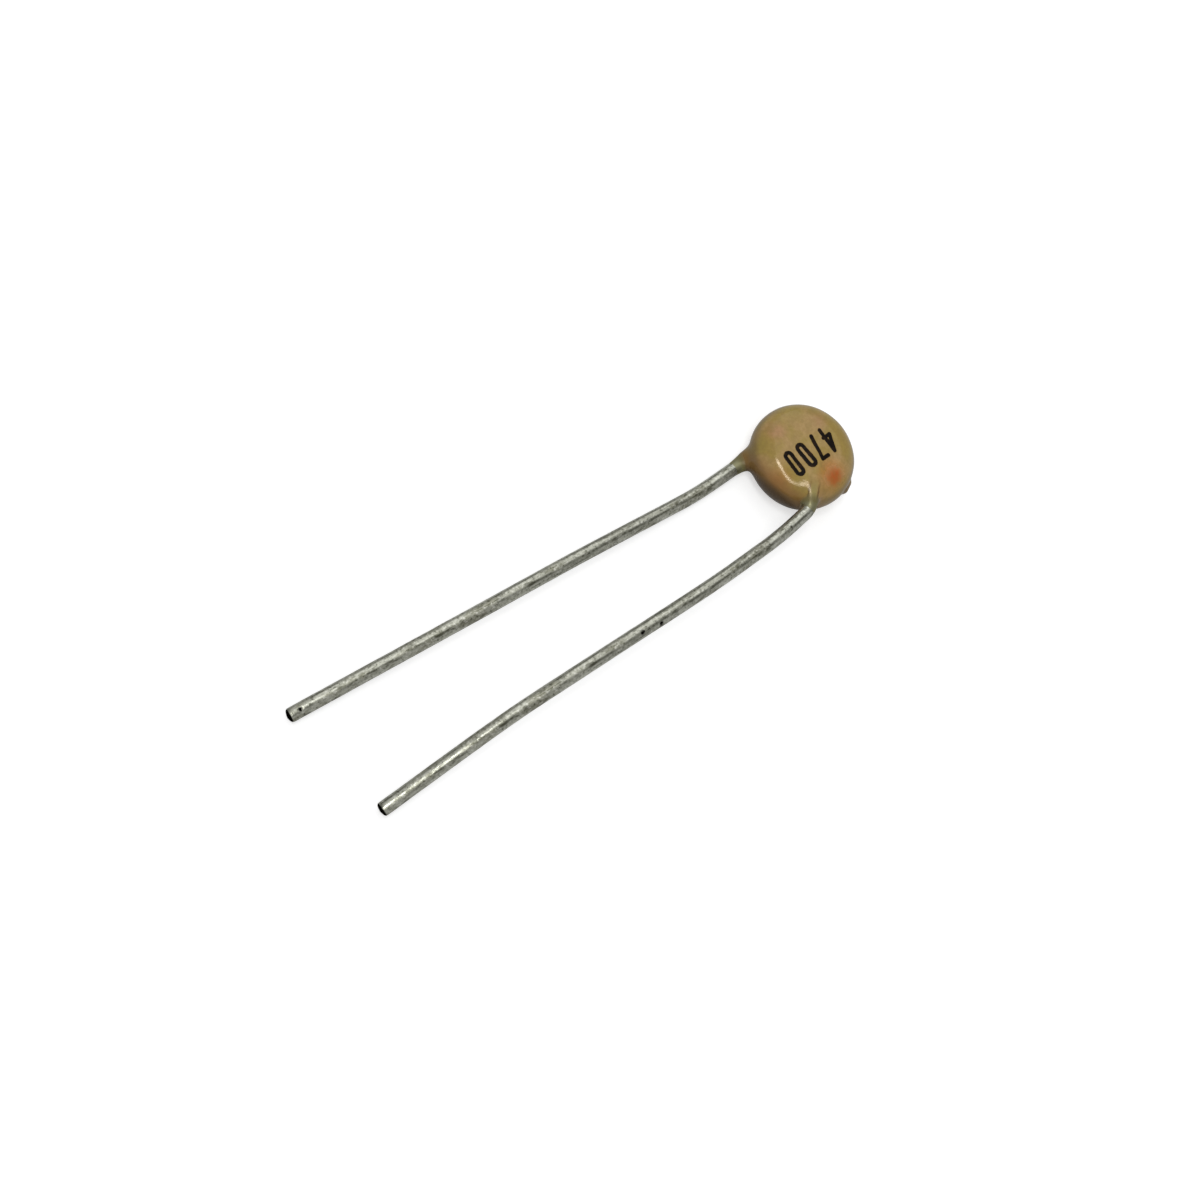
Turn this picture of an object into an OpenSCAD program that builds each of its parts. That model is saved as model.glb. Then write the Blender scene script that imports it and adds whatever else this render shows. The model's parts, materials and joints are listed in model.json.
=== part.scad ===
// Ceramic disc capacitor with two radial wire leads, lying as it comes to rest:
// on its two lead tips and on the rim of its lacquer coat.
// Sizes are in millimetres. Every piece is drawn in the frame of the disc, with
// the middle of the ceramic at the origin, its faces along Z and the leads
// leaving towards -Y. lay_down() then lays the whole capacitor on the plane Z = 0.

/* [Ceramic disc] */
// Diameter of the fired ceramic disc
ceramic_d = 4.4; // [3.6:0.1:6]
// Thickness of the ceramic disc
ceramic_t = 0.5; // [0.3:0.05:1]
// Bare ceramic left round each silver electrode
electrode_margin = 0.1; // [0.05:0.05:0.2]
// Thickness of each fired silver electrode
electrode_t = 0.02; // [0.01:0.005:0.05]

/* [Solder joints] */
// Solder between a lead and its electrode
solder_film = 0.02; // [0.01:0.005:0.05]
// Height that the solder climbs up the sides of a lead
solder_h = 0.4; // [0.3:0.02:0.5]
// Length of each solder joint along its lead
solder_l = 1.5; // [1:0.1:1.7]
// Distance of a solder joint's middle from its lead's inner end
solder_at = 0.9; // [0.8:0.05:1]

/* [Lacquer coat] */
// Lacquer beyond the edge of the ceramic disc
coat_edge = 0.2; // [0.15:0.05:0.5]
// Lacquer over the leads in the middle of each face
coat_cover = 0.16; // [0.1:0.02:0.4]
// Lacquer over the leads where they cross the rim
sleeve_t = 0.1; // [0.06:0.01:0.15]
// Lacquer at the very end of the skirt on each lead
skirt_t = 0.03; // [0.02:0.01:0.05]
// Length of the skirt that runs down the back lead past the rim
back_skirt_l = 0.5; // [0.3:0.05:0.8]
// Length of the skirt that runs down the front lead past the rim
front_skirt_l = 0.15; // [0.1:0.05:0.4]

/* [Leads] */
// Diameter of the tinned wire
lead_d = 0.6; // [0.5:0.05:0.8]
// Distance of the back lead's inner end from the left edge of the ceramic disc
back_inset = 0.9; // [0.6:0.05:1.2]
// Reach of the back lead's inner end past the middle of the disc
back_reach = 0.9; // [0.6:0.05:1.1]
// Distance of the front lead's inner end from the middle, to the right
front_offset = 0.5; // [0.1:0.05:0.7]
// Reach of the front lead's inner end past the middle of the disc
front_reach = 0.03; // [-0.1:0.01:0.3]
// Angle at which the front lead crosses the front face, outwards
front_splay = 45; // [30:1:50]
// Angle by which the front lead turns back where it crosses the rim
front_kink = 39; // [20:1:45]
// Radius of that turn
kink_r = 0.8; // [0.6:0.05:1.5]
// Distance inside the rim at which that turn starts
kink_inset = 0.04; // [0:0.01:0.2]
// Length of the back lead before its first bend
back_first_l = 4.8; // [4:0.1:8]
// Length of the back lead from its first bend to its second
back_second_l = 4.2; // [1:0.1:6]
// Length of the back lead from its second bend to its third
back_third_l = 3.6; // [1:0.1:6]
// Length of the back lead's straight end
back_end_l = 7.55; // [4:0.05:12]
// Length of the front lead from its turn at the rim to its first bend
front_first_l = 0.62; // [0.4:0.02:4]
// Length of the front lead from its first bend to its second
front_second_l = 1.4; // [1:0.1:6]
// Length of the front lead from its second bend to its third
front_third_l = 7.2; // [1:0.1:8]
// Length of the front lead's straight end
front_end_l = 4.25; // [3:0.05:8]
// Radius of the bend beside the coat
near_bend_r = 12; // [8:1:20]
// Radius of the slower bends farther out
far_bend_r = 24; // [16:1:40]

/* [Marking] */
// Thickness of the printed ink and of the colour dot
ink_t = 0.03; // [0.02:0.005:0.05]
// Height of a printed figure
figure_h = 1.25; // [1:0.05:1.4]
// Width of a printed figure
figure_w = 0.52; // [0.44:0.02:0.6]
// Width of the printed strokes
stroke_w = 0.15; // [0.1:0.01:0.18]
// Distance from one printed figure to the next
figure_pitch = 0.7; // [0.64:0.02:0.8]
// Distance of the line of figures from the middle, to the right
figures_shift = 0.15; // [-0.3:0.05:0.3]
// Diameter of the colour dot
dot_d = 0.7; // [0.4:0.05:0.9]
// Distance of the colour dot from the middle, to the right
dot_offset = 1.55; // [1.3:0.05:1.7]
// Distance of the colour dot from the middle, away from the leads
dot_rise = 0.2; // [-0.3:0.05:0.5]

/* [Hidden] */
$fn = 48;

ceramic_r = ceramic_d / 2;
electrode_r = ceramic_r - electrode_margin;
face_z = ceramic_t / 2 + electrode_t;
lead_r = lead_d / 2;
lead_z = face_z + solder_film + lead_r;
coat_r = ceramic_r + coat_edge;
coat_half = lead_z + lead_r + coat_cover;
face_r = coat_r - coat_half;
sleeve_r = lead_r + sleeve_t;
skirt_r = lead_r + skirt_t;
back_offset = ceramic_r - back_inset;

// Shares of a figure: height of the 4's bar, and across it the 4's stem and the 7's foot
bar_share = 0.36;
stem_share = 0.7;
foot_share = 0.35;

back_start = [-back_offset, back_reach, -lead_z];
front_start = [front_offset, front_reach, lead_z];

// Length of each lead from its inner end to where it crosses the rim
back_rim_l = rim_crossing(back_start, 0);
front_rim_l = rim_crossing(front_start, front_splay);
function rim_crossing(start, splay) =
    let (away = start.x * sin(splay) - start.y * cos(splay),
         side = start.x * cos(splay) + start.y * sin(splay))
    sqrt(coat_r * coat_r - side * side) - away;

// A lead is a list of steps [feed, roll, bend, radius of the bend]. The wire is
// fed straight, then bent: at roll 0 towards the front of the disc, at roll 90
// to the left and at roll 180 towards the back.
back_steps = [[back_first_l, 30, 10, near_bend_r],
              [back_second_l, 180, 6.5, far_bend_r],
              [back_third_l, 170, 3.5, far_bend_r],
              [back_end_l, 0, 0, 0]];
front_steps = [[front_rim_l - kink_inset, 90, front_kink, kink_r],
               [front_first_l, 34, 10, near_bend_r],
               [front_second_l, 157, 7.5, far_bend_r],
               [front_third_l, 194, 10, far_bend_r],
               [front_end_l, 0, 0, 0]];
// The wire's frame [place, bend side, other side, heading] after bending steps
function after_step(f, s) =
    let (roll = s[1], bend = s[2],
         inward = f[1] * cos(roll) + f[2] * sin(roll),
         across = f[2] * cos(roll) - f[1] * sin(roll),
         turned = inward * cos(bend) - f[3] * sin(bend))
    [f[0] + f[3] * (s[0] + s[3] * sin(bend)) + inward * s[3] * (1 - cos(bend)),
     turned * cos(roll) - across * sin(roll),
     turned * sin(roll) + across * cos(roll),
     inward * sin(bend) + f[3] * cos(bend)];
function after_steps(f, steps, i = 0) =
    i == len(steps) ? f : after_steps(after_step(f, steps[i]), steps, i + 1);
function tip(start, splay, steps) =
    after_steps([start, [0, 0, 1], [-cos(splay), -sin(splay), 0],
                 [sin(splay), -cos(splay), 0]], steps)[0];
back_tip = tip(back_start, 0, back_steps);
front_tip = tip(front_start, front_splay, front_steps);

// The floor touches both tips and the coat. Of the planes that touch both tips,
// floor_up(t) is the upward normal of the one tilted by t, and settle() halves
// the range of t until the coat just touches too.
tip_line = (front_tip - back_tip) / norm(front_tip - back_tip);
flat_up = [0, 0, 1] - tip_line * tip_line.z;
level_up = flat_up / norm(flat_up);
tilt_side = cross(level_up, tip_line);
function floor_up(t) = level_up * cos(t) + tilt_side * sin(t);
function coat_low(up) =
    min(-face_r * norm([up.x, up.y]) - coat_half,
        up * (back_start - [0, back_rim_l, 0]) - sleeve_r);
function coat_clear(t) = coat_low(floor_up(t)) - floor_up(t) * back_tip + lead_r;
function settle(low, high, turns = 40) =
    let (middle = (low + high) / 2)
    turns == 0 ? middle
    : sign(coat_clear(middle)) == sign(coat_clear(low)) ? settle(middle, high, turns - 1)
    : settle(low, middle, turns - 1);
up = floor_up(settle(-25, 25));
tips_middle = (front_tip + back_tip) / 2;
tips_flat = tips_middle - up * (tips_middle * up);
forward = -tips_flat / norm(tips_flat);
right = cross(forward, up);
middle_y = (min(forward * back_tip, forward * front_tip) + coat_r) / 2;

module lay_down() {
    multmatrix([concat(right, 0),
                concat(forward, -middle_y),
                concat(up, -coat_low(up)),
                [0, 0, 0, 1]])
        children();
}

// Turns +Z to the heading of a lead and +X to the front of the disc
module along_lead(start, splay) {
    translate(start) rotate([0, 0, splay]) rotate([90, 0, 0]) rotate([0, 0, 90]) children();
}

module arc(bend, bend_r) {
    translate([bend_r, 0, 0]) rotate([90, 0, 180]) rotate_extrude(angle = bend, $fn = 360)
        translate([bend_r, 0]) circle(lead_r, $fn = 48);
}

// The move to the end of a bend is made as a round one and the small rest of it,
// so that it isn't rounded and the wire's pieces meet face to face
function coarse(move) = [for (v = move) round(v * 100) / 100];
module bent_wire(steps, i = 0) {
    feed = steps[i][0];
    roll = steps[i][1];
    bend = steps[i][2];
    bend_r = steps[i][3];
    cylinder(h = feed, r = lead_r);
    if (bend > 0)
        translate([0, 0, feed]) rotate([0, 0, roll]) {
            arc(bend, bend_r);
            end = [bend_r * (1 - cos(bend)), 0, bend_r * sin(bend)];
            translate(coarse(end)) translate(end - coarse(end))
                rotate([0, bend, 0]) rotate([0, 0, -roll]) bent_wire(steps, i + 1);
        }
}

module back_wire() {
    along_lead(back_start, 0) bent_wire(back_steps);
}

module front_wire() {
    along_lead(front_start, front_splay) bent_wire(front_steps);
}

module electrode(side) {
    translate([0, 0, side * (face_z - electrode_t / 2)])
        cylinder(h = electrode_t, r = electrode_r, center = true);
}

// A solder joint: a bead with hollow flanks and round ends along the lead's
// inner stretch, trimmed to the silver
module solder(start, splay) {
    reach = lead_r + solder_h;
    intersection() {
        translate([0, 0, sign(start.z) * (face_z + solder_h / 2)])
            cylinder(h = solder_h, r = electrode_r, center = true);
        along_lead(start, splay) translate([0, 0, solder_at])
            rotate([0, 90, 0]) cylinder(h = 2 * lead_d, r = solder_l / 2, center = true);
        along_lead(start, splay)
            translate([-sign(start.z) * (lead_z - face_z), 0, solder_at - solder_l / 2])
            linear_extrude(solder_l)
            difference() {
                translate([-solder_h, -reach]) square([2 * solder_h, 2 * reach]);
                for (y = [-reach, reach], x = [-solder_h, solder_h])
                    translate([x, y]) circle(solder_h);
            }
    }
}

// The rounded disc of lacquer, grown all over by a small thickness
module coat_pill(grow = 0) {
    rotate_extrude()
        intersection() {
            union() {
                translate([0, -coat_half - grow]) square([face_r, 2 * (coat_half + grow)]);
                translate([face_r, 0]) circle(coat_half + grow);
            }
            translate([0, -coat_half - grow]) square([coat_r + grow, 2 * (coat_half + grow)]);
        }
}

// The lacquer sleeve over a lead, from its buried end to just past the rim
module coat_sleeve(start, splay, rim_l, skirt_l, grow = 0) {
    along_lead(start, splay) {
        translate([0, 0, -sleeve_t - grow])
            cylinder(h = sleeve_t + grow + rim_l, r = sleeve_r + grow);
        translate([0, 0, rim_l])
            cylinder(h = skirt_l, r1 = sleeve_r + grow, r2 = skirt_r + grow);
    }
}

module coat_skin(grow = 0) {
    coat_pill(grow);
    coat_sleeve(back_start, 0, back_rim_l, back_skirt_l, grow);
    coat_sleeve(front_start, front_splay, front_rim_l, front_skirt_l, grow);
}

// A film of ink on the front face of the coat, in the plan that its child draws
module film() {
    difference() {
        intersection() {
            coat_skin(ink_t);
            linear_extrude(2 * coat_half) children();
        }
        coat_skin();
    }
}

// Round-ended stroke between two points of a figure
module stroke(from, to) {
    run = to - from;
    translate(from) rotate([0, 0, atan2(run.y, run.x)])
        translate([0, -stroke_w / 2]) square([norm(run), stroke_w]);
    for (end = [from, to])
        translate(end) circle(stroke_w / 2);
}

module figure_four() {
    high = figure_h - stroke_w / 2;
    bar_y = figure_h * bar_share;
    stem_x = figure_w * stem_share;
    stroke([stem_x, high], [stroke_w / 2, bar_y]);
    stroke([stroke_w / 2, bar_y], [figure_w - stroke_w / 2, bar_y]);
    stroke([stem_x, high], [stem_x, stroke_w / 2]);
}

module figure_seven() {
    high = figure_h - stroke_w / 2;
    stroke([stroke_w / 2, high], [figure_w - stroke_w / 2, high]);
    stroke([figure_w - stroke_w / 2, high], [figure_w * foot_share, stroke_w / 2]);
}

module oval(inset) {
    r = figure_w / 2 - inset;
    translate([figure_w / 2, figure_w / 2]) circle(r);
    translate([figure_w / 2, figure_h - figure_w / 2]) circle(r);
    translate([inset, figure_w / 2]) square([2 * r, figure_h - figure_w]);
}

module figure_zero() {
    difference() {
        oval(0);
        oval(stroke_w);
    }
}

// The figures read towards the leads, with their tops to the right
module figures() {
    translate([figures_shift - figure_h / 2, 1.5 * figure_pitch + figure_w / 2])
        rotate([0, 0, -90]) {
            figure_four();
            translate([figure_pitch, 0]) figure_seven();
            for (i = [2, 3])
                translate([i * figure_pitch, 0]) figure_zero();
        }
}

module ceramic_disc() {
    color("#cfc6b4") cylinder(h = ceramic_t, r = ceramic_r, center = true);
}

module front_electrode() {
    color("#c9c9c6") electrode(1);
}

module back_electrode() {
    color("#c9c9c6") electrode(-1);
}

module front_solder() {
    color("#a9a9a4") difference() {
        solder(front_start, front_splay);
        front_wire();
    }
}

module back_solder() {
    color("#a9a9a4") difference() {
        solder(back_start, 0);
        back_wire();
    }
}

module front_lead() {
    color("#96968a") front_wire();
}

module back_lead() {
    color("#96968a") back_wire();
}

module lacquer_coat() {
    color("#9b8052") difference() {
        coat_skin();
        ceramic_disc();
        electrode(1);
        electrode(-1);
        solder(front_start, front_splay);
        solder(back_start, 0);
        front_wire();
        back_wire();
    }
}

module value_mark() {
    color("#1e1a12") film() figures();
}

module colour_dot() {
    color("#c0602e") film() translate([dot_offset, dot_rise]) circle(dot_d / 2);
}

lay_down() ceramic_disc();
lay_down() front_electrode();
lay_down() back_electrode();
lay_down() front_solder();
lay_down() back_solder();
lay_down() front_lead();
lay_down() back_lead();
lay_down() lacquer_coat();
lay_down() value_mark();
lay_down() colour_dot();
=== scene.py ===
import json
from math import ceil, cos, radians, sin

import bpy
from mathutils import Matrix, Vector


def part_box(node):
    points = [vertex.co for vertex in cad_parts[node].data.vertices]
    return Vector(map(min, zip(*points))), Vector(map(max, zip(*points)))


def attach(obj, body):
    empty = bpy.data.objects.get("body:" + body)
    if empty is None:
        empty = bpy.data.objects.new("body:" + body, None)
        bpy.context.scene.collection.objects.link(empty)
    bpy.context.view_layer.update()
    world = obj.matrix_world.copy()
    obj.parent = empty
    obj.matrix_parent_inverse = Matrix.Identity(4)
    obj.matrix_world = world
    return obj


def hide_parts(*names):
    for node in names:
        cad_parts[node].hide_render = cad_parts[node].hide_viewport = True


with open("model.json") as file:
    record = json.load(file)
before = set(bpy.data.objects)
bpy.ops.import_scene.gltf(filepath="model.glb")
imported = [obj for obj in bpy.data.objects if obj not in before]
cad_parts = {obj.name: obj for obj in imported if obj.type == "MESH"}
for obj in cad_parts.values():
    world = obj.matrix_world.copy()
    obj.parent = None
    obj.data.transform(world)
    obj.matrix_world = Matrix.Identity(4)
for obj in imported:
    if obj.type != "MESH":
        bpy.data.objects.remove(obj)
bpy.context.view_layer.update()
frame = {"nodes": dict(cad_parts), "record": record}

record = frame["record"]

# The ceramic disc is the capacitor's dielectric, a small coin of pale titanate
# pressed from powder and fired. It is the CAD solid, hidden in the lacquer.
MM = 0.001


def add(tree, kind, inputs=None, out=0, **settings):
    """Adds a node, feeds its inputs by name or number and returns one of its outputs."""
    node = tree.nodes.new(kind)
    for key, value in settings.items():
        setattr(node, key, value)
    for key, value in (inputs or {}).items():
        if isinstance(value, bpy.types.NodeSocket):
            tree.links.new(value, node.inputs[key])
        else:
            node.inputs[key].default_value = value
    return node.outputs[out]


def calc(tree, operation, *terms):
    """One step of a formula, as a Math node."""
    return add(tree, "ShaderNodeMath", dict(enumerate(terms)), operation=operation)


def eased(tree, value, low, high, at_low=0.0, at_high=1.0):
    """Turns low..high into at_low..at_high, with soft ends."""
    ends = {"Value": value, "From Min": low, "From Max": high, "To Min": at_low, "To Max": at_high}
    return add(tree, "ShaderNodeMapRange", ends, interpolation_type="SMOOTHSTEP")


def grain(tree, place, scale, detail=2.0, roughness=0.5):
    """Noise of so many lumps to the millimetre, from 0 to 1."""
    inputs = {"Vector": place, "Scale": scale, "Detail": detail, "Roughness": roughness}
    return add(tree, "ShaderNodeTexNoise", inputs)


def blend(tree, share, first, second):
    """Mixes two colours by a share from 0 to 1."""
    return add(tree, "ShaderNodeMix", {0: share, 6: first, 7: second}, out=2, data_type="RGBA")


def colour(red, green, blue):
    """A colour read off a 0..255 chart, in the linear values that a shader takes."""
    return tuple((v / 255) ** 2.2 for v in (red, green, blue)) + (1.0,)


def finish_named(name, **plain):
    """A material with its node tree and shader; the plain values go on the shader itself."""
    material = bpy.data.materials.new(name)
    material.use_nodes = True
    shader = material.node_tree.nodes["Principled BSDF"]
    for key, value in plain.items():
        shader.inputs[key.replace("_", " ")].default_value = value
    return material, material.node_tree, shader


def in_millimetres(tree):
    """Place on the object in millimetres."""
    place = add(tree, "ShaderNodeTexCoord", out="Object")
    return add(tree, "ShaderNodeMapping", {"Vector": place, "Scale": (1 / MM,) * 3})


def feed_shader(tree, shader, **sockets):
    """Joins worked-out values to the shader's sockets."""
    for key, value in sockets.items():
        tree.links.new(value, shader.inputs[key.replace("_", " ")])


def raised(tree, height, distance, strength=1.0):
    """A bump normal from a height field; distance is the real height in metres."""
    return add(tree, "ShaderNodeBump", {"Height": height, "Distance": distance, "Strength": strength},
               out="Normal")


def fired_ceramic():
    """Matt cream ceramic with fine brown specks."""
    material, tree, shader = finish_named("fired_ceramic", IOR=1.6)
    place = in_millimetres(tree)
    tone = blend(tree, grain(tree, place, 1.5), colour(208, 198, 178), colour(190, 176, 150))
    specks = eased(tree, grain(tree, place, 14, 1), 0.62, 0.7)
    feed_shader(tree, shader,
                Base_Color=blend(tree, specks, tone, colour(140, 120, 96)),
                Roughness=eased(tree, grain(tree, place, 6), 0.3, 0.7, 0.5, 0.7),
                Normal=raised(tree, grain(tree, place, 20, 3), 0.01 * MM))
    return material


def dress(node, material):
    """Gives a CAD piece that stays in view its finish."""
    frame["nodes"][node].data.materials.clear()
    frame["nodes"][node].data.materials.append(material)


dress("ceramic_disc", fired_ceramic())

# The electrodes are silver paste printed on both faces of the disc and fired to
# a matt film. They are the CAD solids, hidden in the lacquer.


def fired_silver():
    """Matt silver, yellowed a little where it has tarnished."""
    material, tree, shader = finish_named("fired_silver", Metallic=1.0)
    place = in_millimetres(tree)
    tarnish = eased(tree, grain(tree, place, 1.2, 3), 0.45, 0.75)
    feed_shader(tree, shader,
                Base_Color=blend(tree, tarnish, colour(214, 212, 206), colour(168, 158, 138)),
                Roughness=eased(tree, grain(tree, place, 8), 0.3, 0.7, 0.4, 0.6),
                Normal=raised(tree, grain(tree, place, 30, 2), 0.004 * MM))
    return material


silver = fired_silver()
dress("front_electrode", silver)
dress("back_electrode", silver)

# The leads are two lengths of tinned wire, fed and bent a step at a time. Each is
# soldered flat on one face of the disc, and its far end is nipped off with cutters.
wire_r = record["mounts"][0]["dims"]["r_mm"]
# Middle of the ceramic to the middle of a lead
wire_height = 0.59
near_bend_r = 12
far_bend_r = 24
ring_gap = 0.06
wire_sides = 56
# Rings of the nipped end: distance from the tip and share of the wire's radius
NIPPED_END = [(0.2, 1.0), (0.14, 0.99), (0.09, 0.97), (0.05, 0.93), (0.02, 0.86), (0.006, 0.77),
              (0.003, 0.6), (0.002, 0.4), (0.001, 0.2), (0.0, 0.05)]
# Each step feeds the wire straight, then bends it: length, roll, angle, radius
LEADS = {
    "back_lead": dict(
        start=(-1.3, 0.9, -wire_height), splay=0,
        steps=[(4.8, 30, 10, near_bend_r), (4.2, 180, 6.5, far_bend_r),
               (3.6, 170, 3.5, far_bend_r), (7.55, 0, 0, 0)]),
    "front_lead": dict(
        start=(0.5, 0.03, wire_height), splay=45,
        steps=[(1.998, 90, 39, 0.8), (0.62, 34, 10, near_bend_r), (1.4, 157, 7.5, far_bend_r),
               (7.2, 194, 10, far_bend_r), (4.25, 0, 0, 0)]),
}


def heading_of(splay):
    """Direction in which a buried lead crosses its face of the disc."""
    return Vector((sin(radians(splay)), -cos(radians(splay)), 0))


def fed_and_bent(start, splay, steps):
    """Middle line of a lead, in the disc's own frame, from its buried end to its tip."""
    heading = heading_of(splay)
    front = Vector((0, 0, 1))
    line = [Vector(start)]
    for feed, roll, bend, bend_r in steps:
        place = line[-1]
        pieces = ceil(feed / ring_gap)
        line += [place + heading * feed * (i + 1) / pieces for i in range(pieces)]
        if not bend:
            continue
        place = line[-1]
        angle = radians(bend)
        toward = front * cos(radians(roll)) + heading.cross(front) * sin(radians(roll))
        pieces = ceil(angle * bend_r / ring_gap)
        for i in range(1, pieces + 1):
            part = angle * i / pieces
            line.append(place + heading * bend_r * sin(part) + toward * bend_r * (1 - cos(part)))
        turn = Matrix.Rotation(angle, 3, heading.cross(toward))
        heading, front = turn @ heading, turn @ front
    return line


paths = {name: fed_and_bent(**lead) for name, lead in LEADS.items()}


def tip_in_frame(mount):
    """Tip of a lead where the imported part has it, in millimetres."""
    return Vector(mount["pos_m"]) / MM + Vector(mount["axis"]) * mount["dims"]["length_mm"] / 2


def axes_through(middle, left, right):
    """Three axes: along a line, across it towards a third point's side, and square to both."""
    along = (right - left).normalized()
    normal = along.cross(middle - left).normalized()
    return Matrix((along, normal.cross(along), normal)).transposed()


# The disc's own frame, laid on the table: its middle is the ceramic's, and the
# two lead tips give its turn
disc_middle = sum(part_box("ceramic_disc"), Vector()) / 2 / MM
mounts = {m["name"]: m for m in record["mounts"]}
laid_axes = axes_through(disc_middle, tip_in_frame(mounts["back_lead_end"]),
                         tip_in_frame(mounts["front_lead_end"]))
own_axes = axes_through(Vector(), paths["back_lead"][-1], paths["front_lead"][-1])
disc_turn = laid_axes @ own_axes.transposed()
lay_down = Matrix.Scale(MM, 4) @ Matrix.Translation(disc_middle) @ disc_turn.to_4x4()


def shape_tree(name, sizes):
    """A Geometry Nodes tree with one named input for each size."""
    tree = bpy.data.node_groups.new(name, "GeometryNodeTree")
    tree.interface.new_socket("Geometry", in_out="INPUT", socket_type="NodeSocketGeometry")
    tree.interface.new_socket("Geometry", in_out="OUTPUT", socket_type="NodeSocketGeometry")
    for label, size in sizes.items():
        kind = "Vector" if hasattr(size, "__len__") else "Int" if isinstance(size, int) else "Float"
        tree.interface.new_socket(label, in_out="INPUT", socket_type="NodeSocket" + kind)
    return tree, tree.nodes.new("NodeGroupInput").outputs


def store(tree, geometry, name, value, data_type="FLOAT"):
    """Keeps a value on the geometry under a name."""
    return add(tree, "GeometryNodeStoreNamedAttribute",
               {"Geometry": geometry, "Name": name, "Value": value}, data_type=data_type)


def stored(tree, name, data_type="FLOAT"):
    """Reads a value that was kept under a name."""
    return add(tree, "GeometryNodeInputNamedAttribute", {"Name": name}, data_type=data_type)


def vector(tree, operation, *terms, out=0):
    """One step of a formula on places and directions."""
    return add(tree, "ShaderNodeVectorMath", dict(enumerate(terms)), out=out, operation=operation)


def moved(tree, geometry, direction, length):
    """Moves every point along a direction."""
    offset = add(tree, "ShaderNodeVectorMath", {0: direction, "Scale": length}, operation="SCALE")
    return add(tree, "GeometryNodeSetPosition", {"Geometry": geometry, "Offset": offset})


def close_tree(tree, geometry, material):
    """Ends a tree: smooth faces, real geometry, the piece's material."""
    geometry = add(tree, "GeometryNodeSetShadeSmooth", {"Geometry": geometry})
    geometry = add(tree, "GeometryNodeRealizeInstances", {"Geometry": geometry})
    geometry = add(tree, "GeometryNodeSetMaterial", {"Geometry": geometry, "Material": material})
    tree.links.new(geometry, tree.nodes.new("NodeGroupOutput").inputs[0])


def grown(name, start_mesh, tree, sizes):
    """Runs a tree on a starting mesh in the disc's frame and lays the result down."""
    piece = bpy.data.objects.new(name, start_mesh)
    bpy.context.scene.collection.objects.link(piece)
    growth = piece.modifiers.new("growth", "NODES")
    growth.node_group = tree
    for item in tree.interface.items_tree:
        if item.name in sizes:
            growth[item.identifier] = sizes[item.name]
    depsgraph = bpy.context.evaluated_depsgraph_get()
    mesh = bpy.data.meshes.new_from_object(piece.evaluated_get(depsgraph))
    piece.modifiers.clear()
    piece.data = mesh
    mesh.name = name
    mesh.transform(lay_down)
    return piece


def wire_path(name, line):
    """The lead's middle line as a chain of edges, with the girth of the wire at each point."""
    heading = (line[-1] - line[-2]).normalized()
    body = [p for p in line if (line[-1] - p).length > NIPPED_END[0][0]]
    points = body + [line[-1] - heading * back for back, share in NIPPED_END]
    girths = [1.0] * len(body) + [share for back, share in NIPPED_END]
    mesh = bpy.data.meshes.new(name + "_path")
    mesh.from_pydata(points, [(i, i + 1) for i in range(len(points) - 1)], [])
    mesh.attributes.new("girth", "FLOAT", "POINT").data.foreach_set("value", girths)
    return mesh


def on_wire(along, turn):
    """Place on the unbent wire's surface: distance along it and turn round it."""
    return cos(radians(turn)) * wire_r, sin(radians(turn)) * wire_r, along


# Pits in the tin: distance along the wire, turn round it and size
PITS = {"back_lead": [(25.93, -90, 0.12)],
        "front_lead": [(3.64, -96, 0.08), (11.5, -133, 0.14), (12.45, -112, 0.15)]}
# Dark lines along the wire, a painted reflection of dark bands: turn round the wire and width
PAINTED_DARK_LINES = [(-106, 0.09), (-48, 0.07)]
# Length of wire behind the cut that is black
BLACK_ENDS = {"back_lead": 0.07, "front_lead": 0.13}


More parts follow.
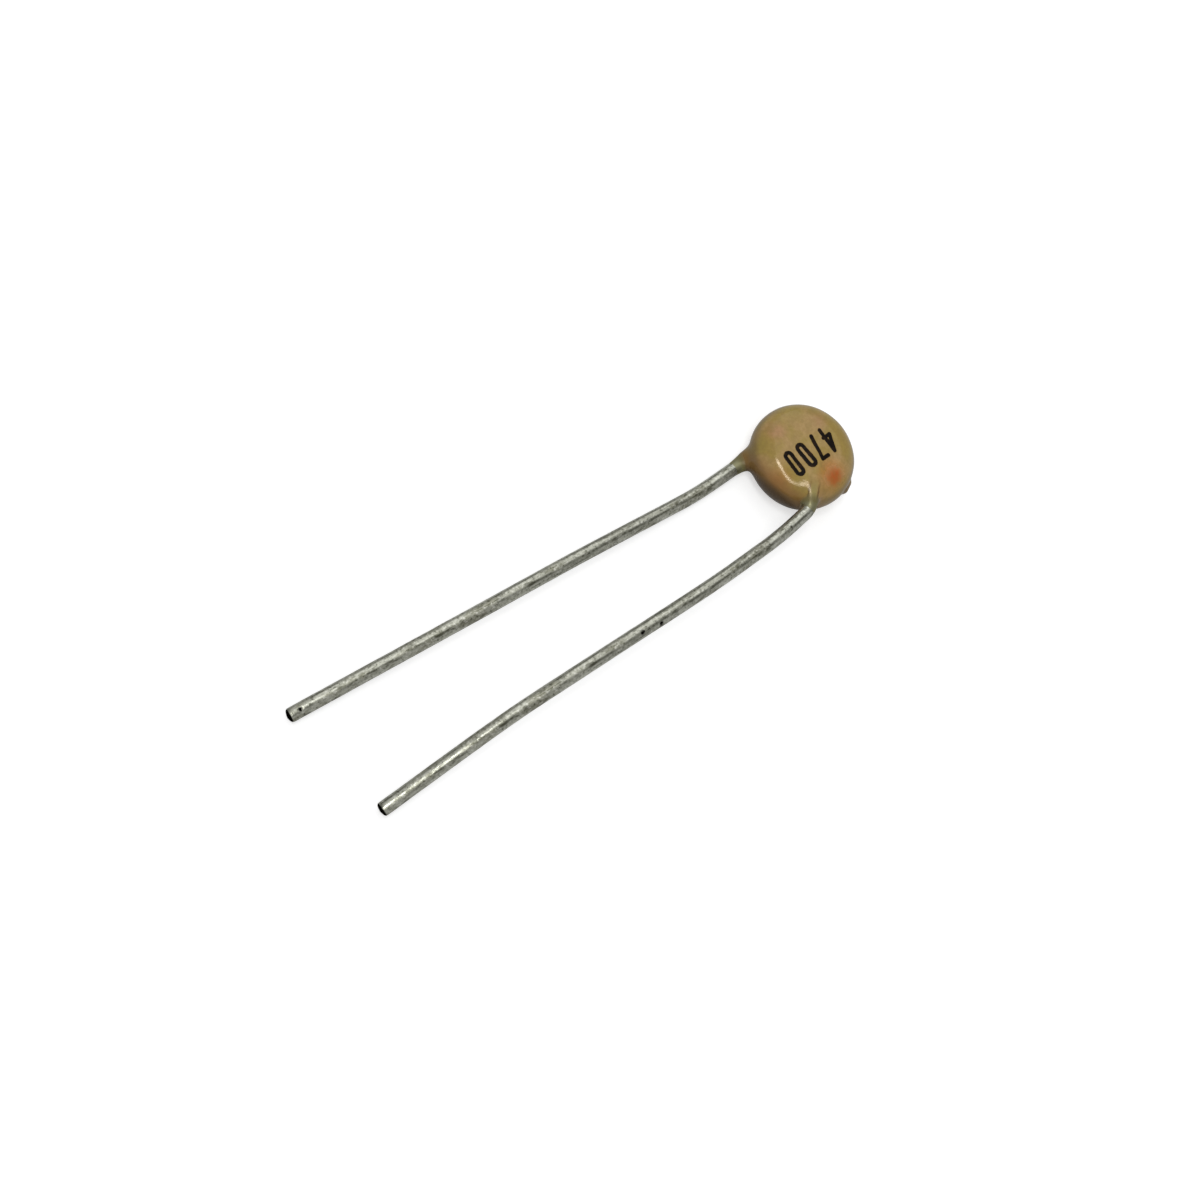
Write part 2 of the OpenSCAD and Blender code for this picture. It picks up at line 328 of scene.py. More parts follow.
def tinned_wire(name, pits, black_end):
    """Dull drawn tin: draw lines along the wire, stains, two dark lines of painted reflection along it, and
    black in the pits and on the cut end.
    """
    material, tree, shader = finish_named(name, Metallic=1.0)
    unbent = add(tree, "ShaderNodeAttribute", out="Vector", attribute_name="unbent")
    to_tip = add(tree, "ShaderNodeAttribute", out="Fac", attribute_name="to_tip")
    drawn = add(tree, "ShaderNodeMapping", {"Vector": unbent, "Scale": (1, 1, 0.05)})
    smeared = add(tree, "ShaderNodeMapping", {"Vector": unbent, "Scale": (1, 1, 0.4)})
    lines = grain(tree, drawn, 7, 4, 0.65)
    blotches = grain(tree, smeared, 2.2, 5, 0.65)
    specks = grain(tree, unbent, 9, 3, 0.7)
    tone = blend(tree, eased(tree, lines, 0.35, 0.65), colour(160, 161, 148), colour(200, 201, 188))
    tone = blend(tree, eased(tree, blotches, 0.48, 0.62, 0, 0.6), tone, colour(126, 125, 106))
    tone = blend(tree, eased(tree, lines, 0.42, 0.34, 0, 0.75), tone, colour(84, 84, 70))
    tone = blend(tree, eased(tree, specks, 0.54, 0.68, 0, 0.75), tone, colour(72, 72, 60))
    tone = blend(tree, eased(tree, specks, 0.46, 0.32, 0, 0.7), tone, colour(226, 226, 216))
    stained = eased(tree, grain(tree, smeared, 4.5, 4, 0.6), 0.54, 0.66, 0, 0.6)
    tone = blend(tree, stained, tone, colour(76, 76, 62))
    round_only = vector(tree, "MULTIPLY", unbent, (1, 1, 0))
    # Two dark lines at fixed turns round the wire are a painted reflection of dark bands; blotches break
    # them up
    line_breaks = eased(tree, blotches, 0.62, 0.4)
    for turn, width in PAINTED_DARK_LINES:
        gap = vector(tree, "DISTANCE", round_only, on_wire(0, turn), out="Value")
        line = calc(tree, "MULTIPLY", eased(tree, gap, width, width * 0.2, 0, 0.7), line_breaks)
        tone = blend(tree, line, tone, colour(72, 72, 58))
    dark = eased(tree, to_tip, black_end, black_end * 0.5)
    for along, turn, size in pits:
        gap = vector(tree, "DISTANCE", unbent, on_wire(along, turn), out="Value")
        gap = calc(tree, "ADD", gap, calc(tree, "MULTIPLY", calc(tree, "SUBTRACT", specks, 0.5), 0.2))
        dark = calc(tree, "MAXIMUM", dark, eased(tree, gap, size, size * 0.4))
    fine = calc(tree, "ADD", calc(tree, "MULTIPLY", lines, 0.6), calc(tree, "MULTIPLY", specks, 0.4))
    clean = calc(tree, "SUBTRACT", 1.0, dark)
    feed_shader(tree, shader,
                Base_Color=blend(tree, dark, tone, colour(14, 12, 9)),
                Metallic=clean, Specular_IOR_Level=calc(tree, "MULTIPLY", clean, 0.5),
                Roughness=eased(tree, blotches, 0.35, 0.7, 0.32, 0.46),
                Normal=raised(tree, fine, 0.016 * MM))
    return material


def wire_tree(name, sizes, pits, material):
    """Sweeps the round wire along its middle line, with small dents, pits and the nipped ridge."""
    tree, given = shape_tree(name, sizes)
    path = add(tree, "GeometryNodeMeshToCurve", {"Mesh": given["Geometry"]})
    path = add(tree, "GeometryNodeSetCurveNormal", {"Curve": path}, mode="Z_UP")
    run = add(tree, "GeometryNodeSplineParameter", out="Length")
    path = store(tree, path, "along", run)
    path = store(tree, path, "to_tip", calc(tree, "SUBTRACT", add(tree, "GeometryNodeSplineLength"), run))
    path = store(tree, path, "heading", add(tree, "GeometryNodeInputTangent"), "FLOAT_VECTOR")
    round_wire = add(tree, "GeometryNodeCurvePrimitiveCircle",
                     {"Resolution": given["Sides"], "Radius": given["Wire radius"]})
    round_wire = store(tree, round_wire, "around", add(tree, "GeometryNodeInputPosition"), "FLOAT_VECTOR")
    wire = add(tree, "GeometryNodeCurveToMesh",
               {"Curve": path, "Profile Curve": round_wire, "Scale": stored(tree, "girth"),
                "Fill Caps": True})
    around = stored(tree, "around", "FLOAT_VECTOR")
    lift = add(tree, "ShaderNodeCombineXYZ", {"Z": stored(tree, "along")})
    wire = store(tree, wire, "unbent", vector(tree, "ADD", around, lift), "FLOAT_VECTOR")
    unbent = stored(tree, "unbent", "FLOAT_VECTOR")
    dents = grain(tree, vector(tree, "ADD", unbent, given["Seed"]), 1.3, 3, 0.6)
    height = calc(tree, "MULTIPLY", calc(tree, "SUBTRACT", dents, 0.5), given["Unevenness"])
    for along, turn, size in pits:
        gap = vector(tree, "DISTANCE", unbent, on_wire(along, turn), out="Value")
        height = calc(tree, "SUBTRACT", height, eased(tree, gap, size, 0.0, 0.0, size * 0.5))
    to_tip = stored(tree, "to_tip")
    height = calc(tree, "MULTIPLY", height, eased(tree, to_tip, 0.02, 0.2))
    wire = moved(tree, wire, add(tree, "GeometryNodeInputNormal"), height)
    across = calc(tree, "ABSOLUTE", add(tree, "ShaderNodeSeparateXYZ", {0: around}, out="X"))
    sloped = calc(tree, "DIVIDE", calc(tree, "MULTIPLY", across, given["Nip ridge"]), given["Wire radius"])
    sloped = calc(tree, "MULTIPLY", sloped, stored(tree, "girth"))
    sloped = calc(tree, "MULTIPLY", sloped, eased(tree, to_tip, 0.12, 0.0, 0.0, -1.0))
    wire = moved(tree, wire, stored(tree, "heading", "FLOAT_VECTOR"), sloped)
    close_tree(tree, wire, material)
    return tree


for seed, (name, line) in enumerate(paths.items()):
    tin = tinned_wire(name + "_tin", PITS[name], BLACK_ENDS[name])
    wire_sizes = {"Wire radius": wire_r, "Sides": wire_sides, "Unevenness": 0.02,
                  "Nip ridge": 0.04, "Seed": (0.0, 0.0, 40.0 * seed)}
    lead = grown("drawn_" + name, wire_path(name, line),
                 wire_tree(name + "_shape", wire_sizes, PITS[name], tin), wire_sizes)
    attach(lead, "root")
    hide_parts(name)

# The solder joints are beads of soft solder that hold the leads on the silver.
# They are the CAD solids, hidden in the lacquer.


def soft_solder():
    """Smooth grey solder with dull dross."""
    material, tree, shader = finish_named("soft_solder", Metallic=1.0)
    place = in_millimetres(tree)
    dross = eased(tree, grain(tree, place, 3, 4, 0.6), 0.55, 0.75, 0, 0.7)
    feed_shader(tree, shader,
                Base_Color=blend(tree, dross, colour(196, 196, 190), colour(120, 116, 106)),
                Roughness=eased(tree, grain(tree, place, 5), 0.3, 0.7, 0.2, 0.4),
                Normal=raised(tree, grain(tree, place, 9, 2), 0.01 * MM))
    return material


solder = soft_solder()
dress("front_solder", solder)
dress("back_solder", solder)

# The lacquer coat is one dip of ochre-brown insulating lacquer. It rounds the disc's
# edge, swells over the buried leads, draws down each of them in a thin neck and has
# left a small drip on the rim as it dried.
coat_r = 2.42
coat_sizes = {
    "Coat radius": coat_r, "Off centre": (0.035, 0.04, 0.0), "Half thickness": 1.05,
    "Crown": 0.03, "Lumps": 0.05,
    "Back neck": 0.38, "Back neck start": -0.1, "Back neck end": 1.3, "Back fillet": 0.8,
    "Back swell": 0.25,
    "Front neck": 0.37, "Front neck start": -0.1, "Front neck end": 0.6, "Front fillet": 0.35,
    "Front swell": 0.8,
    "Drip": 0.28}
coat_room = {"Low corner": (-2.8, -3.9, -1.4), "High corner": (2.8, 2.8, 1.3), "Fineness": 0.036}
# Lacquer over a buried lead, from the lead's own middle line. It starts to thin to the
# neck this far inside the rim, and is down to it just short of the rim
lead_swell = 0.4
thins_from = 0.9
thins_to = 0.1
# The neck tapers off by this power, with an edge that wanders, and past its end the
# coat's surface runs on a little under the tin
neck_taper = 1.7
neck_wander = 0.25
sunk = 0.02
# The drip on the rim, from end to end, and how softly it runs into the coat
DRIP = [(2.03, 1.0, 0.04), (2.16, 0.72, 0.02)]
drip_blend = 0.12
# How far the painted shade in the crease beside the drip reaches
crease_reach = 0.16
# The coat is a little flattened where it lies on the table
table_blend = 0.06
# Length of lead that is near enough to the coat to shape it
buried_l = 4.2


def rim_crossing(start, splay):
    """Length of a straight lead from its buried end to where it crosses the rim of the coat."""
    away = heading_of(splay).dot(Vector(start))
    aside = Vector((cos(radians(splay)), sin(radians(splay)), 0)).dot(Vector(start))
    return (coat_r ** 2 - aside ** 2) ** 0.5 - away


def chains_mesh(name, chains, on_lead):
    """Chains of edges; a flag tells the buried leads from lines that are printed."""
    mesh = bpy.data.meshes.new(name)
    points, edges = [], []
    for chain in chains:
        edges += [(len(points) + i, len(points) + i + 1) for i in range(len(chain) - 1)]
        points += chain
    mesh.from_pydata(points, edges, [])
    flags = [flag for chain, flag in zip(chains, on_lead) for _ in chain]
    mesh.attributes.new("on_lead", "BOOLEAN", "POINT").data.foreach_set("value", flags)
    return mesh


buried = []
for line in paths.values():
    buried.append([p for p in line if (p - line[0]).length < buried_l])


def to_lines(tree, lines, place, out="Distance"):
    """Distance to the nearest of some lines, or the nearest place on them."""
    inputs = {0: lines, "Source Position": place}
    return add(tree, "GeometryNodeProximity", inputs, out=out, target_element="EDGES")


def neck_shape(tree, ragged, foot, start, splay, swell, width, thin_from, thin_to, fillet):
    """Lacquer round a lead, by the nearest place on the lead: a swell where it is buried, then a
    neck that thins out past the rim. Gives its thickness and the size of its fillet to the disc."""
    rim = rim_crossing(start, splay)
    run = vector(tree, "DOT_PRODUCT", vector(tree, "SUBTRACT", foot, start), heading_of(splay), out="Value")
    thick = eased(tree, run, rim - thins_from, rim - thins_to, lead_swell, width)
    past_rim = calc(tree, "ADD", calc(tree, "SUBTRACT", run, rim), ragged)
    thinning = {"Value": past_rim, "From Min": thin_from, "From Max": thin_to, "To Min": 1.0, "To Max": 0.0}
    left = add(tree, "ShaderNodeMapRange", thinning)
    bare = wire_r - sunk
    taper = calc(tree, "POWER", left, neck_taper)
    spare = calc(tree, "MULTIPLY", calc(tree, "SUBTRACT", thick, bare), taper)
    return calc(tree, "ADD", spare, bare), eased(tree, run, rim - thins_from, rim, swell, fillet)


def lacquer_surface(tree, given, leads):
    """Distance to the coat's skin anywhere round it, in the disc's frame. A second value is 1 in the crease
    beside the drip, where painted shade goes, and falls to 0 away from it."""
    place = add(tree, "GeometryNodeInputPosition")
    lumps = calc(tree, "MULTIPLY", calc(tree, "SUBTRACT", grain(tree, place, 0.55, 1), 0.5), given["Lumps"])
    plan = vector(tree, "MULTIPLY", vector(tree, "SUBTRACT", place, given["Off centre"]), (1, 1, 0))
    from_middle = vector(tree, "LENGTH", plan, out="Value")
    height = add(tree, "ShaderNodeSeparateXYZ", {0: place}, out="Z")
    face_r = calc(tree, "SUBTRACT", given["Coat radius"], given["Half thickness"])
    past_face = calc(tree, "MAXIMUM", calc(tree, "SUBTRACT", from_middle, face_r), 0.0)
    corner = add(tree, "ShaderNodeCombineXYZ", {"X": past_face, "Y": height})
    round_edge = vector(tree, "LENGTH", corner, out="Value")
    middle_share = calc(tree, "POWER", calc(tree, "DIVIDE", from_middle, given["Coat radius"]), 2)
    crown = calc(tree, "MULTIPLY", middle_share, given["Crown"])
    disc = calc(tree, "ADD", calc(tree, "SUBTRACT", round_edge, given["Half thickness"]), crown)
    foot = to_lines(tree, leads, place, out="Position")
    ragged = calc(tree, "MULTIPLY", calc(tree, "SUBTRACT", grain(tree, place, 3), 0.5), neck_wander)
    in_front = calc(tree, "GREATER_THAN", add(tree, "ShaderNodeSeparateXYZ", {0: foot}, out="Z"), 0.0)
    neck_labels = (" swell", " neck", " neck start", " neck end", " fillet")
    shapes = []
    for name, side in (("back_lead", "Back"), ("front_lead", "Front")):
        start, splay = LEADS[name]["start"], LEADS[name]["splay"]
        neck_sizes = [given[side + label] for label in neck_labels]
        shapes.append(neck_shape(tree, ragged, foot, start, splay, *neck_sizes))
    thick, fillet = [add(tree, "ShaderNodeMix", {0: in_front, 2: behind, 3: before}, data_type="FLOAT")
                     for behind, before in zip(*shapes)]
    necks = calc(tree, "SUBTRACT", to_lines(tree, leads, place), thick)
    drip_end, drip_run = Vector(DRIP[0]), Vector(DRIP[1]) - Vector(DRIP[0])
    from_end = vector(tree, "SUBTRACT", place, drip_end)
    share = vector(tree, "DOT_PRODUCT", from_end, drip_run / drip_run.length_squared, out="Value")
    held = add(tree, "ShaderNodeClamp", {"Value": share})
    nearest = add(tree, "ShaderNodeVectorMath", {0: drip_run, "Scale": held}, operation="SCALE")
    drip = calc(tree, "SUBTRACT", vector(tree, "DISTANCE", from_end, nearest, out="Value"), given["Drip"])
    coat = calc(tree, "SMOOTH_MIN", disc, necks, fillet)
    beside = calc(tree, "ABSOLUTE", calc(tree, "SUBTRACT", disc, drip))
    coat = calc(tree, "SMOOTH_MIN", coat, drip, drip_blend)
    coat = calc(tree, "ADD", coat, lumps)
    up = disc_turn.transposed() @ Vector((0, 0, 1))
    over_table = calc(tree, "ADD", vector(tree, "DOT_PRODUCT", place, up, out="Value"), disc_middle.z)
    coat = calc(tree, "SMOOTH_MAX", coat, calc(tree, "MULTIPLY", over_table, -1.0), table_blend)
    return coat, eased(tree, beside, crease_reach, 0.0)


def skin_mesh(tree, given, distance):
    """Meshes the surface where the distance is nil inside the given room. The mesh is seated on
    the surface, evened twice with a few rounds of blur and seated again after each."""
    cells = vector(tree, "DIVIDE", vector(tree, "SUBTRACT", given["High corner"], given["Low corner"]),
                   given["Fineness"])
    cells = add(tree, "ShaderNodeSeparateXYZ", {0: cells}).node.outputs
    inputs = {"Density": calc(tree, "SUBTRACT", 1.0, distance),
              "Min": given["Low corner"], "Max": given["High corner"],
              "Resolution X": cells["X"], "Resolution Y": cells["Y"], "Resolution Z": cells["Z"]}
    volume = add(tree, "GeometryNodeVolumeCube", inputs)
    skin = add(tree, "GeometryNodeVolumeToMesh", {"Volume": volume, "Threshold": 1.0})
    inward = calc(tree, "MULTIPLY", distance, -1.0)
    for evening in (0, 3, 3, 0):
        if evening:
            inputs = {"Value": add(tree, "GeometryNodeInputPosition"), "Iterations": evening}
            even = add(tree, "GeometryNodeBlurAttribute", inputs, data_type="FLOAT_VECTOR")
            skin = add(tree, "GeometryNodeSetPosition", {"Geometry": skin, "Position": even})
        skin = moved(tree, skin, add(tree, "GeometryNodeInputNormal"), inward)
    return skin


def in_disc_frame(tree):
    """Place in the disc's own frame in millimetres, for a material."""
    place = add(tree, "ShaderNodeTexCoord", out="Object")
    undo = disc_turn.transposed()
    inputs = {"Vector": place, "Scale": (1 / MM,) * 3, "Rotation": undo.to_euler(),
              "Location": -(undo @ disc_middle)}
    return add(tree, "ShaderNodeMapping", inputs)


# Patches in the lacquer, on the front and round the rim: place, reach, strength and colour
PATCHES = [
    (-1.45, -0.75, 0.75, 0.6, colour(166, 118, 88)), (-0.75, 1.25, 0.6, 0.5, colour(166, 122, 92)),
    (-1.9, 0.5, 0.9, 0.8, colour(150, 132, 62)), (-1.5, -1.7, 0.7, 0.7, colour(142, 124, 62)),
    (0.35, -2.0, 0.8, 0.6, colour(168, 112, 56)), (1.3, 0.3, 0.85, 0.4, colour(180, 130, 78)),
    (1.9, -0.9, 0.7, 0.5, colour(164, 120, 84)), (1.5, 1.5, 0.6, 0.6, colour(150, 132, 74)),
    (1.5, 0.1, 1.0, 0.6, colour(186, 104, 40))]


def over_front_lead(tree, tone, place):
    """Where the lead nears the skin the lacquer is pale and greenish, with a line of painted shade along
    each side of the ridge.
    """
    start, splay = LEADS["front_lead"]["start"], LEADS["front_lead"]["splay"]
    from_start = vector(tree, "SUBTRACT", place, start)
    sideways = heading_of(splay).cross(Vector((0, 0, 1)))
    run = vector(tree, "DOT_PRODUCT", from_start, heading_of(splay), out="Value")
    aside = calc(tree, "ABSOLUTE", vector(tree, "DOT_PRODUCT", from_start, sideways, out="Value"))
    wander = calc(tree, "MULTIPLY", calc(tree, "SUBTRACT", grain(tree, place, 4, 3), 0.5), 0.16)
    aside = calc(tree, "ADD", aside, wander)
    on_front = eased(tree, add(tree, "ShaderNodeSeparateXYZ", {0: place}, out="Z"), 0.35, 0.6)
    near = calc(tree, "MULTIPLY", eased(tree, run, 0.9, 1.7), on_front)
    ridge = calc(tree, "MULTIPLY", eased(tree, aside, 0.22, 0.08, 0, 0.7), near)
    # Painted shade: a dark line along each side of the ridge over the lead
    line = calc(tree, "ABSOLUTE", calc(tree, "SUBTRACT", aside, 0.22))
    line = calc(tree, "MULTIPLY", eased(tree, line, 0.07, 0.01, 0, 0.7), near)
    return blend(tree, line, blend(tree, ridge, tone, colour(150, 142, 92)), colour(70, 52, 28))


def lacquer_tone(tree, place):
    """Ochre lacquer with olive and pinkish patches and a fine grain. It is darker round the rim, partly as
    thicker lacquer and partly as painted shade, and darkest on the lower side of the rim towards the leads,
    which is painted shade. The back face is plain."""
    olive = eased(tree, grain(tree, place, 0.9, 3), 0.4, 0.6)
    tone = blend(tree, olive, colour(166, 137, 87), colour(153, 131, 68))
    plan = vector(tree, "MULTIPLY", place, (1, 1, 0))
    height = add(tree, "ShaderNodeSeparateXYZ", {0: place}, out="Z")
    off_back = eased(tree, height, -0.85, -0.55)
    for x, y, reach, strength, patch in PATCHES:
        gap = vector(tree, "DISTANCE", plan, (x, y, 0), out="Value")
        share = calc(tree, "MULTIPLY", eased(tree, gap, reach, 0.0, 0, strength), off_back)
        tone = blend(tree, share, tone, patch)
    fine = eased(tree, grain(tree, place, 7, 4, 0.7), 0.35, 0.65, 0, 0.3)
    tone = blend(tree, fine, tone, colour(128, 100, 58))
    mottled = eased(tree, grain(tree, place, 2.6, 3, 0.6), 0.45, 0.7, 0, 0.4)
    tone = blend(tree, mottled, tone, colour(134, 112, 62))
    # Painted shade: the lacquer darkens towards the lower side of the rim that faces the leads, darkest at
    # the limb
    shade_side = vector(tree, "DOT_PRODUCT", place, (0.25, -0.85, -0.45), out="Value")
    tone = blend(tree, eased(tree, shade_side, 1.0, 1.6, 0, 0.6), tone, colour(134, 92, 56))
    painted_shade_rim = calc(tree, "MULTIPLY", eased(tree, shade_side, 1.6, 2.0, 0, 0.95), off_back)
    tone = blend(tree, painted_shade_rim, tone, colour(42, 25, 22))
    tone = over_front_lead(tree, tone, place)
    # A darker band round the rim: partly thicker lacquer, partly painted shade at the limb
    rim_pool_and_shade = eased(tree, vector(tree, "LENGTH", plan, out="Value"), 2.12, 2.32, 0, 0.5)
    return blend(tree, rim_pool_and_shade, tone, colour(84, 66, 36))


def dipped_lacquer():
    """The lacquer; where it thins out on a lead, the tin shows through it."""
    material, tree, shader = finish_named("dipped_lacquer", IOR=1.5, Specular_Tint=(1.0, 0.86, 0.68, 1.0))
    place = in_disc_frame(tree)
    film = add(tree, "ShaderNodeAttribute", out="Fac", attribute_name="film")
    drip_crease_shade = add(tree, "ShaderNodeAttribute", out="Fac", attribute_name="drip_crease_shade")
    bare = eased(tree, film, 0.06, 0.0)
    tone = blend(tree, eased(tree, film, 0.14, 0.04), lacquer_tone(tree, place), colour(104, 98, 62))
    drip_crease_shade = calc(tree, "MULTIPLY", drip_crease_shade, eased(tree, grain(tree, place, 2.5), 0.35, 0.6, 0.1, 0.4))
    # Painted shade in the crease beside the drip
    tone = blend(tree, drip_crease_shade, tone, colour(70, 50, 30))
    feed_shader(tree, shader,
                Base_Color=blend(tree, bare, tone, colour(138, 136, 108)), Metallic=bare,
                Roughness=calc(tree, "MAXIMUM", eased(tree, film, 0.18, 0.06, 0.0, 0.42),
                               eased(tree, grain(tree, place, 2.5, 3), 0.3, 0.7, 0.14, 0.2)),
                Normal=raised(tree, grain(tree, place, 1.7, 2), 0.006 * MM))
    return material


tree, given = shape_tree("coat_shape", {**coat_sizes, **coat_room})
surface, drip_crease_shade = lacquer_surface(tree, given, given["Geometry"])
skin = store(tree, skin_mesh(tree, given, surface), "drip_crease_shade", drip_crease_shade)
to_lead = to_lines(tree, given["Geometry"], add(tree, "GeometryNodeInputPosition"))
film = calc(tree, "SUBTRACT", to_lead, wire_r)
close_tree(tree, store(tree, skin, "film", film), dipped_lacquer())
coat = grown("dipped_coat", chains_mesh("buried_leads", buried, (True, True)), tree,
             {**coat_sizes, **coat_room})
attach(coat, "root")
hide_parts("lacquer_coat")

# The value is stamped on the front of the coat in black ink, four plain figures that
# read towards the leads, and a dab of orange paint beside them marks the grade.
figure_h = 1.25
figure_w = 0.52
figure_pitch = 0.7
figures_shift = 0.15
# A stroke's middle line stays this far inside the figure's edge
inset = 0.08
stamp = {"Stroke width": 0.215, "Ink height": 0.012, "Edge slope": 0.35, "Raggedness": 0.05,
         "Low corner": (-0.75, -1.55, 0.86), "High corner": (1.05, 1.55, 1.13), "Fineness": 0.015}
dab = {"Stroke width": 0.9, "Ink height": 0.01, "Edge slope": 0.03, "Raggedness": 0.3,
       "Low corner": (0.9, -0.7, 0.6), "High corner": (2.25, 0.85, 1.13), "Fineness": 0.03}
DAB_STROKE = [(1.58, 0.26, 0), (1.64, 0.06, 0)]
# Each film is closed this far inside the coat, and its top and its root are rounded
film_root = 0.05
top_blend = 0.006
root_blend = 0.01


def ring_points(x, y, ring_r, start, end, steps=16):
    """Points of an arc round a place in a figure, between two angles."""
    turns = [radians(start + (end - start) * i / steps) for i in range(steps + 1)]
    return [(x + ring_r * cos(t), y + ring_r * sin(t)) for t in turns]


left_x = inset
right_x = figure_w - inset
middle_x = figure_w / 2
stem_x = figure_w * 0.7
foot_x = figure_w * 0.35
low_y = inset
bar_y = figure_h * 0.36
top_y = figure_h - inset
nought_r = (figure_w - stamp["Stroke width"]) / 2
FIGURES = {
    "4": [[(stem_x, top_y), (left_x, bar_y), (right_x, bar_y)], [(stem_x, top_y), (stem_x, low_y)]],
    "7": [[(left_x, top_y), (right_x, top_y), (foot_x, low_y)]],
    "0": [ring_points(middle_x, top_y - nought_r, nought_r, 0, 180)
          + ring_points(middle_x, low_y + nought_r, nought_r, 180, 360)
          + [(middle_x + nought_r, top_y - nought_r)]],
}


def laid_out(text):
    """The figures' strokes on the disc, with their tops to the right."""
    low = figures_shift - figure_h / 2
    first = (len(text) - 1) / 2 * figure_pitch + figure_w / 2
    chains = []
    for i, figure in enumerate(text):
        for stroke in FIGURES[figure]:
            chains.append([(low + y, first - i * figure_pitch - x, 0) for x, y in stroke])
    return chains


def film_tree(name, sizes, material):
    """A film over the coat along some strokes, thick in the middle and nil at its ragged edge."""
    tree, given = shape_tree(name, {**coat_sizes, **sizes})
    chains = add(tree, "GeometryNodeSeparateGeometry",
                 {"Geometry": given["Geometry"], "Selection": stored(tree, "on_lead", "BOOLEAN")},
                 domain="POINT").node.outputs
    coat = lacquer_surface(tree, given, chains["Selection"])[0]
    place = add(tree, "GeometryNodeInputPosition")
    plan = vector(tree, "MULTIPLY", place, (1, 1, 0))
    ragged = calc(tree, "MULTIPLY", calc(tree, "SUBTRACT", grain(tree, place, 7, 3, 0.6), 0.5),
                  given["Raggedness"])
    inside = calc(tree, "SUBTRACT", calc(tree, "DIVIDE", given["Stroke width"], 2.0),
                  calc(tree, "ADD", to_lines(tree, chains["Inverted"], plan), ragged))
    lift = calc(tree, "MULTIPLY", inside, given["Edge slope"])
    lift = calc(tree, "SMOOTH_MIN", lift, given["Ink height"], top_blend)
    outer = calc(tree, "SUBTRACT", coat, lift)
    inner = calc(tree, "SUBTRACT", -film_root, coat)
    skin = skin_mesh(tree, given, calc(tree, "SMOOTH_MAX", outer, inner, root_blend))
    cover = calc(tree, "DIVIDE", lift, given["Ink height"])
    close_tree(tree, store(tree, skin, "cover", cover), material)
    return tree


def print_on_lacquer(name, full, worn, spread, **plain):
    """Ink or paint that lets the lacquer show where it is thin."""
    material, tree, shader = finish_named(name, **plain)
    place = in_disc_frame(tree)
    cover = add(tree, "ShaderNodeAttribute", out="Fac", attribute_name="cover")
    tone = blend(tree, eased(tree, grain(tree, place, 5, 3), 0.45, 0.7), full, worn)
    feed_shader(tree, shader,
                Base_Color=blend(tree, eased(tree, cover, 0.0, spread), lacquer_tone(tree, place), tone),
                Roughness=eased(tree, grain(tree, place, 6, 2), 0.3, 0.7, 0.3, 0.45),
                Normal=raised(tree, grain(tree, place, 14, 2), 0.006 * MM))
    return material


PRINTS = {
    "stamped_value": ("value_mark", "black_ink", laid_out("4700"), stamp,
                      print_on_lacquer("stamping_ink", colour(20, 13, 4), colour(44, 30, 14), 0.8,
                                       IOR=1.2)),
    "orange_dab": ("colour_dot", "orange_ink", [DAB_STROKE], dab,
                   print_on_lacquer("orange_paint", colour(164, 78, 8), colour(156, 88, 24), 1.3,
                                    IOR=1.45)),
}
for name, (node, slot, strokes, film_sizes, material) in PRINTS.items():
    chains = chains_mesh(name + "_lines", buried + strokes, [True, True] + [False] * len(strokes))
    shape = film_tree(name + "_shape", film_sizes, material)
    mark = grown(name, chains, shape, {**coat_sizes, **film_sizes})
    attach(mark, "root")
    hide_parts(node)

# The table is a plain pale board. A white surround lights it, with a narrow strip lamp
# over the leads' side, a small lamp at the strip's end and a broad one to the left.
table_size = 3.0
board_white = 0.6
board_lift = 0.55
surround = 0.47
bpy.ops.mesh.primitive_plane_add(size=table_size)
table = bpy.context.object
table.name = "table"


def pale_board():
    """Pale board; the camera sees it lifted to white, with the shadow kept."""
    material, tree, shader = finish_named("pale_board", Roughness=0.9)
    shader.inputs["Base Color"].default_value = (board_white, board_white, board_white, 1)
    rays = tree.nodes.new("ShaderNodeLightPath").outputs
    glow = calc(tree, "MULTIPLY", rays["Is Camera Ray"], board_lift)
    glow = add(tree, "ShaderNodeEmission", {"Color": (1, 1, 1, 1), "Strength": glow})
    both = add(tree, "ShaderNodeAddShader", {0: shader.outputs[0], 1: glow})
    tree.links.new(both, tree.nodes["Material Output"].inputs["Surface"])
    return material


table.data.materials.append(pale_board())

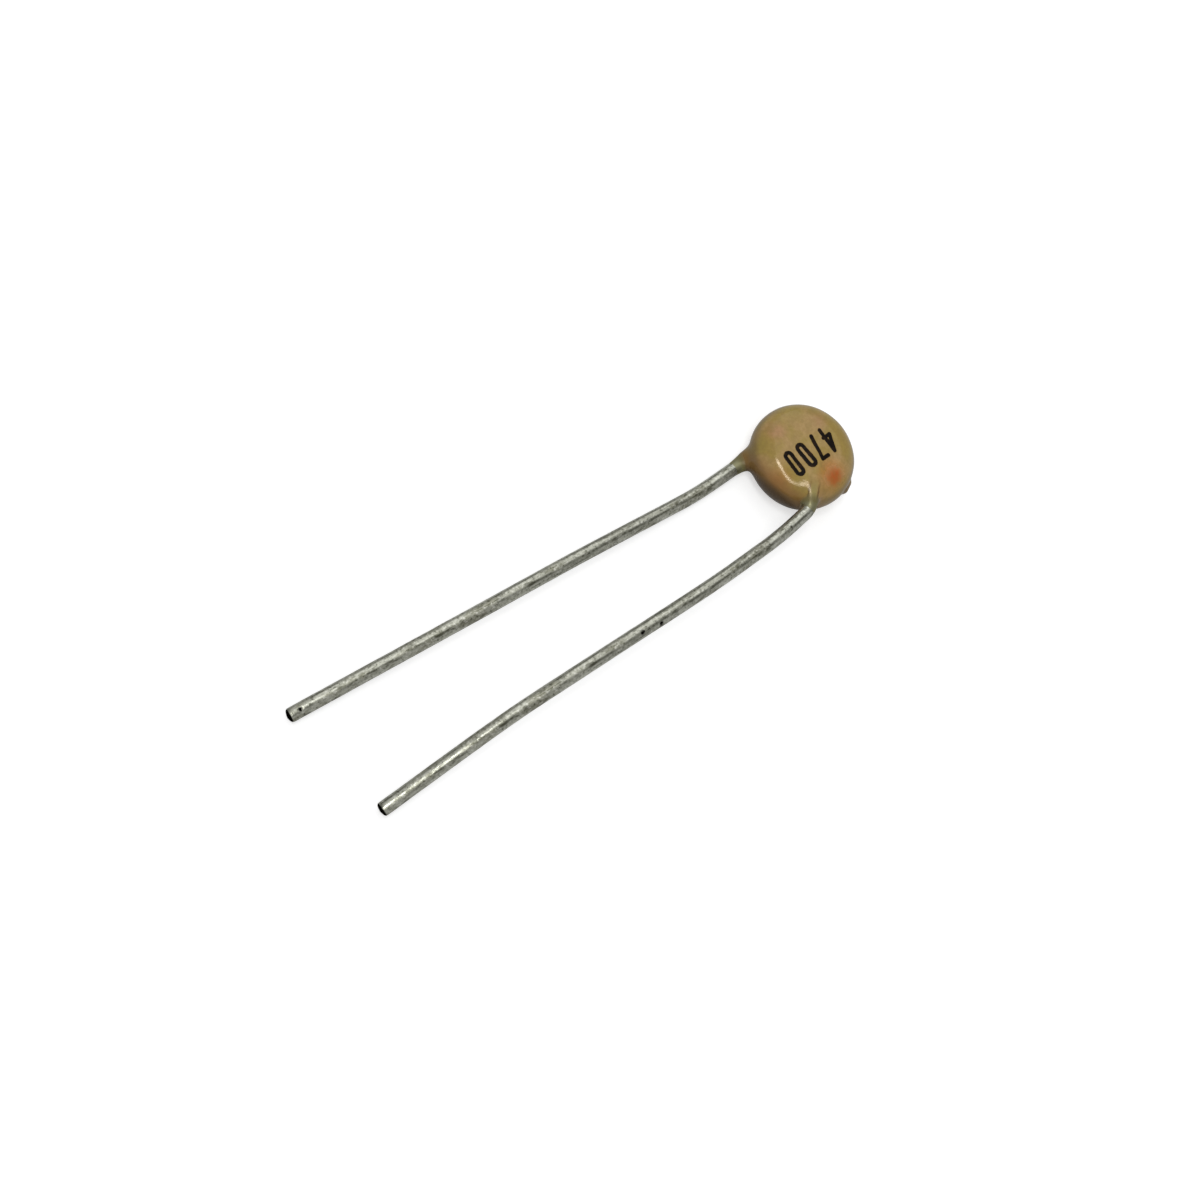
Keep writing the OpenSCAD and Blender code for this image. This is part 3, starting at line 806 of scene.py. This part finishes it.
world = bpy.data.worlds.new("studio")
bpy.context.scene.world = world
world.use_nodes = True
world.node_tree.nodes["Background"].inputs["Color"].default_value = (1, 1, 1, 1)
world.node_tree.nodes["Background"].inputs["Strength"].default_value = surround


def lamp(name, left, right, depth, watts):
    """A flat lamp between two places, in metres, that faces the capacitor."""
    left, right = Vector(left), Vector(right)
    data = bpy.data.lights.new(name, "AREA")
    data.shape = "RECTANGLE"
    data.size, data.size_y, data.energy = (right - left).length, depth, watts
    light = bpy.data.objects.new(name, data)
    bpy.context.scene.collection.objects.link(light)
    along = (right - left).normalized()
    away = (left + right) / 2
    away_only = (away - along * away.dot(along)).normalized()
    light.matrix_world = Matrix.Translation(away) @ Matrix(
        (along, away_only.cross(along), away_only)).transposed().to_4x4()


lamp("strip", (-0.056, -0.045, 0.342), (0.125, -0.135, 0.295), 0.045, 0.31)
lamp("strip_end", (-0.075, -0.03, 0.345), (-0.02, -0.06, 0.335), 0.075, 0.1)
lamp("side", (-0.2, 0.02, 0.27), (-0.14, 0.3, 0.24), 0.4, 0.27)

# The camera looks down on the capacitor from the side of the lead tips.
view_azimuth = 12.005
view_elevation = 63.039
view_roll = 43.339
view_distance = 84.66
look_at = Vector((0.363, -0.182, 0.518))
# Lens and sensor in millimetres
lens_length = 61.422
sensor_w = 36

azimuth = radians(view_azimuth)
elevation = radians(view_elevation)
back = Vector((sin(azimuth) * cos(elevation), -cos(azimuth) * cos(elevation), sin(elevation)))
side = Vector((cos(azimuth), sin(azimuth), 0))
rise = back.cross(side)
roll = radians(view_roll)
across = side * cos(roll) + rise * sin(roll)
over = rise * cos(roll) - side * sin(roll)
camera = bpy.data.objects.new("camera", bpy.data.cameras.new("camera"))
bpy.context.scene.collection.objects.link(camera)
camera.data.sensor_width = sensor_w
camera.data.lens = lens_length
camera.data.clip_start = MM
camera.matrix_world = Matrix.Translation((look_at + back * view_distance) * MM) @ Matrix(
    (across, over, back)).transposed().to_4x4()
bpy.context.scene.camera = camera
bpy.context.scene.view_settings.view_transform = "Standard"
